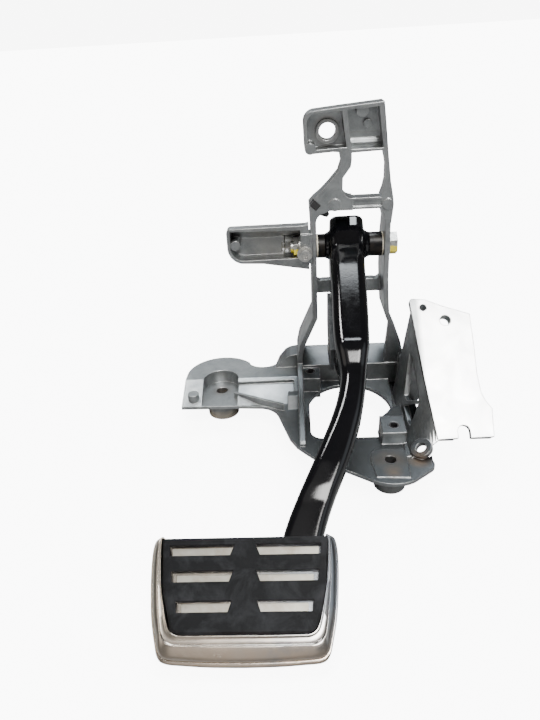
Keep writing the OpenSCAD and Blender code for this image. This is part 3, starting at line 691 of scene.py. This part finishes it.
def straight_read(table, at):
    """A table of two columns read at a point, on straight lines between its rows."""
    for (a, value_a), (b, value_b) in zip(table, table[1:]):
        if at <= b:
            return value_a + (value_b - value_a) * (at - a) / (b - a)
    return table[-1][1]


def face_height(at, soft=0.8):
    """The face's height, its creases rounded by the press."""
    near = [max(at + soft * k / 2, arm_start) for k in range(-2, 3)]
    return sum(straight_read(arm_face, place) for place in near) / len(near)


def bow(x, y, radius, start, end, steps):
    """Points on an arc, its angles in degrees."""
    turns = [math.radians(start + (end - start) * i / steps) for i in range(steps + 1)]
    return [(x + radius * math.cos(t), y + radius * math.sin(t)) for t in turns]


def arm_ring(at, steps):
    """The channel's section: up the left wall, over the face, down and back inside."""
    x, half, back = (smooth_read(arm_table, at, k) for k in (1, 2, 3))
    top = face_height(at)
    r = min(arm_corner, (top - back) / 2 - arm_sheet)
    left, right = x - half + r, x + half - r
    inner = r - arm_sheet
    return (
        [(x - half, back)]
        + bow(left, top - r, r, 180, 90, steps)
        + bow(right, top - r, r, 90, 0, steps)
        + [(x + half, back), (x + half - arm_sheet, back)]
        + bow(right, top - r, inner, 0, 90, steps)
        + bow(left, top - r, inner, 90, 180, steps)
        + [(x - half + arm_sheet, back)]
    )


def new_piece(name, work, mat, body, angle=35.0):
    """A finished bmesh made into a piece that rides on a body."""
    bmesh.ops.recalc_face_normals(work, faces=work.faces)
    for face in work.faces:
        face.smooth = True
    for edge in work.edges:
        if edge.smooth and len(edge.link_faces) == 2:
            edge.smooth = edge.calc_face_angle() < math.radians(angle)
    mesh = bpy.data.meshes.new(name)
    work.to_mesh(mesh)
    work.free()
    mesh.materials.append(mat)
    obj = bpy.data.objects.new(name, mesh)
    bpy.context.scene.collection.objects.link(obj)
    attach(obj, body)
    return obj


def skin_rings(work, rings, caps=True):
    """Quads between equal rings of vertices."""
    count = len(rings[0])
    for a, b in zip(rings, rings[1:]):
        for j in range(count):
            work.faces.new((a[j], a[(j + 1) % count], b[(j + 1) % count], b[j]))
    if caps:
        work.faces.new(rings[0])
        work.faces.new(list(reversed(rings[-1])))


arm_work = bmesh.new()
arm_rings = []
arm_steps = 216
corner_steps = 8
for i in range(arm_steps + 1):
    at = arm_start + (arm_end - arm_start) * i / arm_steps
    section = arm_ring(at, corner_steps)
    arm_rings.append([arm_work.verts.new(on_arm(x, at, out)) for x, out in section])
skin_rings(arm_work, arm_rings)
# Down to the bend, the flat face meets its corners at a crisp line.
arm_work.edges.ensure_lookup_table()
crisp_rings = 104
for ring_a, ring_b in zip(arm_rings[:crisp_rings], arm_rings[1:]):
    for j in (corner_steps + 1, corner_steps + 2):
        edge = arm_work.edges.get((ring_a[j], ring_b[j]))
        edge.smooth = False

# Weld collars round the tube: distance from the arm's middle, radius.
collar_middle = -24.6
collar_steps = 64
collar_profile = [
    (11.5, 16.4),
    (13.0, 15.6),
    (14.0, 14.0),
    (15.2, 12.4),
    (16.6, 11.3),
    (18.2, 10.6),
    (19.0, 10.3),
    (11.5, 10.3),
]
for side in (-1, 1):
    hoops = []
    for out, radius in collar_profile:
        hoop = []
        for k in range(collar_steps):
            t = 2 * math.pi * k / collar_steps
            spoke = Vector((collar_middle + side * out, radius * math.cos(t), radius * math.sin(t)))
            hoop.append(arm_work.verts.new((pivot + spoke) * mm))
        hoops.append(hoop)
    skin_rings(arm_work, hoops + [hoops[0]], caps=False)
arm_skin = new_piece("arm_skin", arm_work, paint_mat, "pedal")
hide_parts("pedal_arm")

back_skin = merged_copy("arm_back")
back_skin.data.materials.clear()
back_skin.data.materials.append(paint_mat)
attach(back_skin, "pedal")
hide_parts("arm_back")
dress("pad_plate", paint_mat)

# Pushrod plate: a flat steel plate with three holes, welded to the side of the arm. It
# holds the pin for the booster's rod, and is bare and dark under an oily film.

plate_mat = cloudy_finish(
    "oiled steel plate",
    metal=0.6,
    scales=(90.0, 1200.0),
    tones=((0.022, 0.023, 0.025), (0.085, 0.088, 0.092)),
    span=(0.35, 0.65),
    gloss_by="Speckle",
    gloss=(0.3, 0.5),
    relief=(0.0003, 0.3),
)
dress("pushrod_plate", plate_mat)

# Pivot tube: a steel tube welded across the head of the arm, which holds the bushes.
# Its black paint is thin and dull where the arm swings past the bracket.

tube_mat = cloudy_finish(
    "dull black paint",
    specular=0.2,
    scales=(120.0, 1600.0),
    tones=((0.003, 0.003, 0.0035), (0.018, 0.014, 0.011)),
    span=(0.45, 0.7),
    gloss_by="Speckle",
    gloss=(0.28, 0.42),
    relief=(0.0002, 0.2),
)
dress("pivot_tube", tube_mat)

# Pad cover: a frame pressed from stainless sheet and clipped over the boot, with a
# crest, a groove and an inner ridge round the tread, and its rim folded under.

pad_origin = Vector((-105.8, -163.7, 10.5))
pad_slope = math.radians(31)
pad_floor = -5.4
pad_crease = 28

steel_mat, steel, steel_shader = new_material("brushed stainless", 1.0)
steel_place = put(steel, "ShaderNodeTexCoord").outputs["Object"]
steel_stretch = put(steel, "ShaderNodeMapping", Scale=(0.03, 1.0, 1.0))
join(steel, steel_place, steel_stretch.inputs["Vector"])
steel_brush = noise(steel, steel_stretch.outputs["Vector"], 2600, 2, 0.7)
steel_grain = place_group(steel, grain_tree, steel_place, Cloud_Scale=45.0, Speckle_Scale=900.0)
steel_wear = place_group(steel, edge_tree, steel_place, Radius=0.0003)
steel_split = steel.nodes.new("ShaderNodeSeparateXYZ")
join(steel, steel_place, steel_split.inputs[0])
# Painted reflection: the sheet is tinted warm on its left and lower side and cool on its right, for
# the room it mirrors.
cool_reflection_tone = (0.30, 0.313, 0.333)
warm_reflection_tone = (0.58, 0.53, 0.46)
low_reflection_tone = (0.50, 0.43, 0.36)
warm_reflection_span = (-0.075, -0.125)
low_reflection_span = (-0.135, -0.158)
warm_reflection_mask = ramp(steel, steel_split.outputs["X"], *warm_reflection_span)
low_reflection_mask = ramp(steel, steel_split.outputs["Y"], *low_reflection_span)
steel_colour = blend_colour(steel, warm_reflection_mask, cool_reflection_tone, warm_reflection_tone)
# Painted reflection: a warm brown tint low on the sheet, broken into clouds.
steel_colour = blend_colour(
    steel,
    calc(steel, "MULTIPLY", low_reflection_mask, ramp(steel, steel_grain.outputs["Cloud"], 0.35, 0.6, 0.4, 1)),
    steel_colour,
    low_reflection_tone,
)
join(steel, steel_colour, steel_shader.inputs["Base Color"])
steel_rough = calc(
    steel,
    "ADD",
    ramp(steel, steel_brush, 0.3, 0.7, 0.17, 0.20),
    ramp(steel, steel_grain.outputs["Cloud"], 0.4, 0.7, 0.0, 0.08),
)
join(steel, steel_rough, steel_shader.inputs["Roughness"])
bump(steel, steel_shader, steel_brush, 0.000012, 0.15, steel_wear.outputs["Normal"])

# Guides of the pressed frame in the pad's plane, from its middle to its top right.
frame_edge = [
    (0, 0), (20, 0.35), (36, 1.3), (45.6, 2.3),
    (49.9, 5.6), (52.3, 13), (55.4, 27), (57.2, 44),
    (57.9, 57), (57.6, 66.5), (56.0, 72.0), (52.6, 73.5),
]
frame_crest = [
    (0, 10.7), (18, 10.75), (36, 10.9), (43, 11.7),
    (47.3, 15.2), (49.2, 21.5), (50.6, 31), (52.3, 44),
    (53.3, 58), (53.6, 67), (53.5, 71.5), (51.7, 73.5),
]
frame_ridge = [
    (0, 16.2), (17, 16.2), (33, 16.3), (39.6, 16.8),
    (43.6, 19.6), (45.7, 25), (47.5, 32), (50.1, 44),
    (51.5, 58), (52.0, 67), (51.7, 71.8), (51.2, 73.5),
]
frame_floor = [
    (0, 17.4), (17, 17.4), (32.6, 17.5), (38.9, 18.0),
    (42.7, 20.6), (44.8, 25.4), (46.6, 32), (49.2, 44),
    (50.6, 58), (51.2, 67), (51.2, 71.8), (50.7, 73.5),
]
# Stations of the sheet: between which guides, how far along, height over the face.
frame_profile = [
    (0, 0.0, -9.0),
    (0, 0.0, -4.4),
    (0, 0.03, -3.9),
    (0, 0.10, -3.5),
    (0, 0.20, -3.4),
    (0, 0.225, -3.9),
    (0, 0.25, -3.0),
    (0, 0.30, -2.6),
    (0, 0.50, -1.7),
    (0, 0.75, -0.7),
    (0, 0.94, -0.12),
    (1, 0.0, 0.0),
    (1, 0.06, -0.10),
    (1, 0.11, -0.45),
    (1, 0.15, -0.62),
    (1, 0.20, -0.68),
    (1, 0.76, -0.70),
    (1, 0.80, -0.62),
    (1, 0.88, -0.28),
    (1, 0.94, -0.12),
    (2, 0.1, -0.12),
    (2, 0.5, -0.5),
    (2, 1.0, -1.8),
    (2, 1.0, -6.4),
    (1, 0.9, -6.4),
    (1, 0.7, -2.4),
    (1, 0.0, -1.4),
    (0, 0.2, -4.6),
    (0, 0.1, -9.0),
]


def on_pad(x, up, out):
    """A point of the pad's own frame, in metres."""
    y = up * math.cos(pad_slope) - out * math.sin(pad_slope)
    z = up * math.sin(pad_slope) + out * math.cos(pad_slope)
    return (pad_origin + Vector((x, y, z))) * mm


def through(a, b, c, d, t):
    """A value between b and c, on a smooth curve through all four."""
    bend = (2 * a - 5 * b + 4 * c - d) * t**2
    twist = (3 * b - a - 3 * c + d) * t**3
    return 0.5 * (2 * b + (c - a) * t + bend + twist)


def flowing(keys, steps=5):
    """Points on a smooth curve through the keys, after their mirror image."""
    ends = [keys[0]] + keys + [keys[-1]]
    half = []
    for p0, p1, p2, p3 in zip(ends, ends[1:], ends[2:], ends[3:]):
        for k in range(steps):
            t = k / steps
            half.append(tuple(through(*four, t) for four in zip(p0, p1, p2, p3)))
    half.append(keys[-1])
    return [(-x, y) for x, y in reversed(half[1:])] + half


guides = [flowing(keys) for keys in (frame_edge, frame_crest, frame_ridge, frame_floor)]
cover_work = bmesh.new()
cover_rings = []
# The frame sits this far to the left of the pad's middle.
cover_shift = 0.7
for i in range(len(guides[0])):
    ring = []
    for guide, share, out in frame_profile:
        (xa, ya), (xb, yb) = guides[guide][i], guides[guide + 1][i]
        x, y = xa + (xb - xa) * share, ya + (yb - ya) * share
        ring.append(cover_work.verts.new(on_pad(x - cover_shift, y, out)))
    cover_rings.append(ring)
skin_rings(cover_work, cover_rings)

# The floor of the frame, which lies under the tread.
floor_under = -6.4
floor_share = 0.995
floor_lower = 0.4
floor_outline = [(x * floor_share, y - floor_lower) for x, y in guides[3]]
skin_rings(
    cover_work,
    [
        [cover_work.verts.new(on_pad(x, y, out)) for x, y in floor_outline]
        for out in (floor_under, pad_floor)
    ],
)
cover_skin = new_piece("pad_cover_skin", cover_work, steel_mat, "pedal", pad_crease)
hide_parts("pad_cover")

# Window bars: six strips of the same sheet that stand in the windows of the tread, in
# two columns of three. Each is a trapezium with rounded corners, dulled by shoe dirt.

satin_mat = cloudy_finish(
    "dulled stainless",
    metal=0.9,
    scales=(70.0, 1400.0),
    tones=((0.36, 0.347, 0.305), (0.27, 0.25, 0.21)),
    span=(0.4, 0.62),
    gloss_by="Speckle",
    gloss=(0.3, 0.42),
    relief=(0.0001, 0.2),
    radius=0.0006,
    worn=(0.6, (0.30, 0.25, 0.18)),
)

# The middle of the top row, the underside of the bars and their sizes, in millimetres.
bar_top_row = 63.9
bar_under_face = -5.6
bar_sizes = {
    "Top Width": 39.4,
    "Slant": 3.6,
    "Height": 5.2,
    "Thickness": 3.5,
    "Corner": 0.9,
    "Inner Edge": 7.6,
    "Row Gap": 16.25,
    "Shrink": 0.06,
}
bar_rows = 3
bar_corner_points = 4
bar_lean = -0.35

bar_tree = bpy.data.node_groups.new("window bars", "GeometryNodeTree")
for label in ("Side", *bar_sizes):
    bar_tree.interface.new_socket(label, in_out="INPUT", socket_type="NodeSocketFloat")
bar_tree.interface.new_socket("Finish", in_out="INPUT", socket_type="NodeSocketMaterial")
bar_tree.interface.new_socket("Geometry", in_out="OUTPUT", socket_type="NodeSocketGeometry")
bar_in = bar_tree.nodes.new("NodeGroupInput")
bar_out = bar_tree.nodes.new("NodeGroupOutput")

bar_shape = put(bar_tree, "GeometryNodeCurvePrimitiveQuadrilateral", mode="TRAPEZOID")
join(bar_tree, bar_in.outputs["Top Width"], bar_shape.inputs["Top Width"])
join(
    bar_tree,
    calc(bar_tree, "SUBTRACT", bar_in.outputs["Top Width"], bar_in.outputs["Slant"]),
    bar_shape.inputs["Bottom Width"],
)
bar_skew = calc(bar_tree, "MULTIPLY", bar_in.outputs["Slant"], bar_lean)
join(
    bar_tree,
    calc(bar_tree, "MULTIPLY", bar_in.outputs["Side"], bar_skew),
    bar_shape.inputs["Offset"],
)
join(bar_tree, bar_in.outputs["Height"], bar_shape.inputs["Height"])
bar_round = put(bar_tree, "GeometryNodeFilletCurve", mode="POLY")
bar_round.inputs["Count"].default_value = bar_corner_points
join(bar_tree, bar_shape.outputs[0], bar_round.inputs["Curve"])
join(bar_tree, bar_in.outputs["Corner"], bar_round.inputs["Radius"])
bar_fill = put(bar_tree, "GeometryNodeFillCurve", mode="NGONS")
join(bar_tree, bar_round.outputs[0], bar_fill.inputs[0])
bar_rise = put(bar_tree, "GeometryNodeExtrudeMesh")
join(bar_tree, bar_fill.outputs[0], bar_rise.inputs["Mesh"])
join(bar_tree, bar_in.outputs["Thickness"], bar_rise.inputs["Offset Scale"])
bar_under = put(bar_tree, "GeometryNodeFlipFaces")
join(bar_tree, bar_fill.outputs[0], bar_under.inputs[0])
bar_solid = put(bar_tree, "GeometryNodeJoinGeometry")
join(bar_tree, bar_rise.outputs["Mesh"], bar_solid.inputs[0])
join(bar_tree, bar_under.outputs[0], bar_solid.inputs[0])
bar_weld = put(bar_tree, "GeometryNodeMergeByDistance")
bar_weld.inputs["Distance"].default_value = 1e-6
join(bar_tree, bar_solid.outputs[0], bar_weld.inputs[0])
# One bar in each row, its inner end kept in line while it grows shorter.
bar_line = put(bar_tree, "GeometryNodeMeshLine", mode="OFFSET", count_mode="TOTAL")
bar_line.inputs["Count"].default_value = bar_rows
bar_step = put(bar_tree, "ShaderNodeCombineXYZ")
join(bar_tree, calc(bar_tree, "MULTIPLY", bar_in.outputs["Row Gap"], -1.0), bar_step.inputs["Y"])
join(bar_tree, bar_step.outputs[0], bar_line.inputs["Offset"])
bar_index = put(bar_tree, "GeometryNodeInputIndex").outputs[0]
bar_size = calc(
    bar_tree, "SUBTRACT", 1.0, calc(bar_tree, "MULTIPLY", bar_index, bar_in.outputs["Shrink"])
)
bar_scale = put(bar_tree, "ShaderNodeCombineXYZ")
bar_scale.inputs["Y"].default_value = 1.0
bar_scale.inputs["Z"].default_value = 1.0
join(bar_tree, bar_size, bar_scale.inputs["X"])
bar_set = put(bar_tree, "GeometryNodeInstanceOnPoints")
join(bar_tree, bar_line.outputs[0], bar_set.inputs["Points"])
join(bar_tree, bar_weld.outputs[0], bar_set.inputs["Instance"])
join(bar_tree, bar_scale.outputs[0], bar_set.inputs["Scale"])
bar_shift = put(bar_tree, "ShaderNodeCombineXYZ")
bar_wide = calc(bar_tree, "MULTIPLY", bar_in.outputs["Top Width"], bar_size)
bar_middle = calc(
    bar_tree, "ADD", bar_in.outputs["Inner Edge"], calc(bar_tree, "MULTIPLY", bar_wide, 0.5)
)
join(bar_tree, calc(bar_tree, "MULTIPLY", bar_in.outputs["Side"], bar_middle), bar_shift.inputs["X"])
bar_move = put(bar_tree, "GeometryNodeTranslateInstances")
join(bar_tree, bar_set.outputs[0], bar_move.inputs["Instances"])
join(bar_tree, bar_shift.outputs[0], bar_move.inputs["Translation"])
bar_real = put(bar_tree, "GeometryNodeRealizeInstances")
join(bar_tree, bar_move.outputs[0], bar_real.inputs[0])
bar_paint = put(bar_tree, "GeometryNodeSetMaterial")
join(bar_tree, bar_real.outputs[0], bar_paint.inputs["Geometry"])
join(bar_tree, bar_in.outputs["Finish"], bar_paint.inputs["Material"])
join(bar_tree, bar_paint.outputs[0], bar_out.inputs[0])


def grown(tree, name, values):
    """The mesh that a geometry tree grows with its own input values."""
    holder = bpy.data.objects.new(name, bpy.data.meshes.new(name))
    bpy.context.scene.collection.objects.link(holder)
    modifier = holder.modifiers.new(name, "NODES")
    modifier.node_group = tree
    for item in tree.interface.items_tree:
        if item.item_type == "SOCKET" and item.in_out == "INPUT" and item.name in values:
            modifier[item.identifier] = values[item.name]
    graph = bpy.context.evaluated_depsgraph_get()
    mesh = bpy.data.meshes.new_from_object(holder.evaluated_get(graph))
    holder.modifiers.remove(modifier)
    bpy.data.objects.remove(holder)
    return mesh


bars_work = bmesh.new()
for side in (-1.0, 1.0):
    bars = grown(bar_tree, "window_bars", {"Side": side, "Finish": satin_mat, **bar_sizes})
    bars.transform(Matrix.Translation((0, bar_top_row, bar_under_face)))
    bars_work.from_mesh(bars)
for vert in bars_work.verts:
    vert.co = on_pad(*vert.co)
new_piece("pad_bars", bars_work, satin_mat, "pedal", pad_crease)

# Tread and boot: moulded black rubber. The boot is pulled over the pad's plate, the
# tread with its six windows lies in the frame, and both are scuffed grey by shoes.

tread_mat = cloudy_finish(
    "worn pad rubber",
    specular=0.12,
    scales=(55.0, 900.0),
    tones=((0.003, 0.0034, 0.0042), (0.024, 0.0248, 0.027)),
    span=(0.45, 0.72),
    gloss_by="Cloud",
    gloss=(0.42, 0.7),
    relief=(0.0005, 0.4),
    radius=0.0009,
    worn=(0.3, (0.035, 0.032, 0.029)),
)
dress("pad_rubber", tread_mat)
dress("pad_boot", tread_mat)
